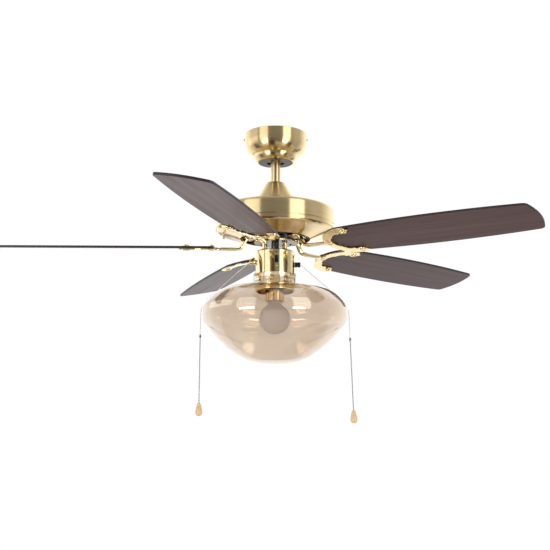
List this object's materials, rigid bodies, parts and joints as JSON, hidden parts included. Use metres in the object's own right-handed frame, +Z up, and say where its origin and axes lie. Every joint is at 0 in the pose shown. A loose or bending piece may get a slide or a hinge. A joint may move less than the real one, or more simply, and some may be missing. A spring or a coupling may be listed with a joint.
{
  "type": "ceiling fan with light",
  "caption": "Ceiling fan in brass with dark wood blades on crescent irons, a down rod and canopy above, and a wide amber glass bowl light with two pull cords below.",
  "frame": {"origin": "middle of the hanger bracket's ceiling face, on the axis of the down rod and motor", "axes": "+Z up into the ceiling, +X to the side that the light's pull cord hangs on, -Y towards the reverse switch"},
  "size_m": [1.2338, 1.2708, 0.7073],
  "materials": {
    "zinc_steel": "zinc plated steel",
    "grey_nylon": "grey nylon",
    "satin_brass": "brushed satin antique brass plating",
    "black_plastic": "black moulded plastic",
    "polished_brass": "polished brass",
    "cast_aluminium": "cast aluminium",
    "core_steel": "laminated electrical steel",
    "copper_wire": "enamelled copper wire, tied and varnished",
    "walnut_blade": "dark walnut veneer on board, satin lacquer",
    "porcelain": "white glazed porcelain liner",
    "pearl_glass": "white frosted bulb glass",
    "amber_glass": "clear blown glass with a thin amber lustre",
    "cotton_string": "white braided cotton string",
    "bead_chain": "nickel plated bead chain",
    "maple": "turned light maple, clear lacquer"
  },
  "bodies": {
    "ceiling_part": {"hanger_bracket": "zinc_steel", "canopy": "satin_brass", "canopy_ring": "black_plastic", "canopy_screw_left": "polished_brass", "canopy_screw_right": "polished_brass"},
    "hung_part": {"hanger_ball": "grey_nylon", "downrod": "satin_brass", "ball_pin": "zinc_steel", "motor_yoke": "cast_aluminium", "yoke_pin": "zinc_steel", "yoke_cover": "satin_brass", "housing_drum": "satin_brass", "housing_funnel": "satin_brass", "motor_shaft": "zinc_steel", "stator_core": "core_steel", "winding_upper": "copper_wire", "winding_lower": "copper_wire", "lower_plate": "polished_brass", "housing_post_1": "polished_brass", "housing_post_2": "polished_brass", "housing_post_3": "polished_brass", "motor_leads": "black_plastic", "switch_housing": "polished_brass", "speed_switch": "grey_nylon", "light_switch": "black_plastic", "capacitor": "black_plastic", "reverse_switch": "grey_nylon", "speed_ferrule": "polished_brass", "light_ferrule": "black_plastic", "fitter": "polished_brass", "socket_shell": "polished_brass", "socket_liner": "porcelain", "bulb_base": "zinc_steel", "bulb_globe": "pearl_glass", "glass_shade": "amber_glass", "speed_string": "cotton_string", "light_string": "cotton_string"},
    "rotor": {"rotor_ring": "core_steel", "rotor_case_top": "cast_aluminium", "flywheel": "black_plastic", "bearing_upper": "zinc_steel", "bearing_lower": "zinc_steel", "blade_iron_1": "polished_brass", "blade_iron_2": "polished_brass", "blade_iron_3": "polished_brass", "blade_iron_4": "polished_brass", "blade_iron_5": "polished_brass", "blade_1": "walnut_blade", "blade_2": "walnut_blade", "blade_3": "walnut_blade", "blade_4": "walnut_blade", "blade_5": "walnut_blade"},
    "reverse_knob": {"reverse_slider": "black_plastic"},
    "speed_pull": {"speed_chain": "bead_chain", "speed_fob": "maple"},
    "light_pull": {"light_chain": "bead_chain", "light_fob": "maple"},
    "screw_back": {"glass_screw_1": "polished_brass"},
    "screw_left": {"glass_screw_2": "polished_brass"},
    "screw_right": {"glass_screw_3": "polished_brass"}
  },
  "joints": [
    {"name": "rod_swing", "type": "hinge", "parent": "ceiling_part", "child": "hung_part", "pos_m": [0, 0, -0.036], "axis": [0, 1, 0], "range_deg": [-8, 8]},
    {"name": "blades_spin", "type": "hinge", "parent": "hung_part", "child": "rotor", "pos_m": [0, 0, -0.26], "axis": [0, 0, 1], "continuous": true},
    {"name": "reverse_slide", "type": "slide", "parent": "hung_part", "child": "reverse_knob", "axis": [0, 0, -1], "range_m": [0, 0.008]},
    {"name": "speed_pull_travel", "type": "slide", "parent": "hung_part", "child": "speed_pull", "axis": [0, 0, -1], "range_m": [0, 0.012], "stiffness_N_per_m": 150, "springref_m": -0.004},
    {"name": "light_pull_travel", "type": "slide", "parent": "hung_part", "child": "light_pull", "axis": [0.0383, 0, -0.9993], "range_m": [0, 0.012], "stiffness_N_per_m": 150, "springref_m": -0.004},
    {"name": "glass_screw_back", "type": "slide", "parent": "hung_part", "child": "screw_back", "axis": [0.0349, 0.9994, 0], "range_m": [0, 0.006]},
    {"name": "glass_screw_left", "type": "slide", "parent": "hung_part", "child": "screw_left", "axis": [-0.8829, -0.4695, 0], "range_m": [0, 0.006]},
    {"name": "glass_screw_right", "type": "slide", "parent": "hung_part", "child": "screw_right", "axis": [0.848, -0.5299, 0], "range_m": [0, 0.006]}
  ]
}
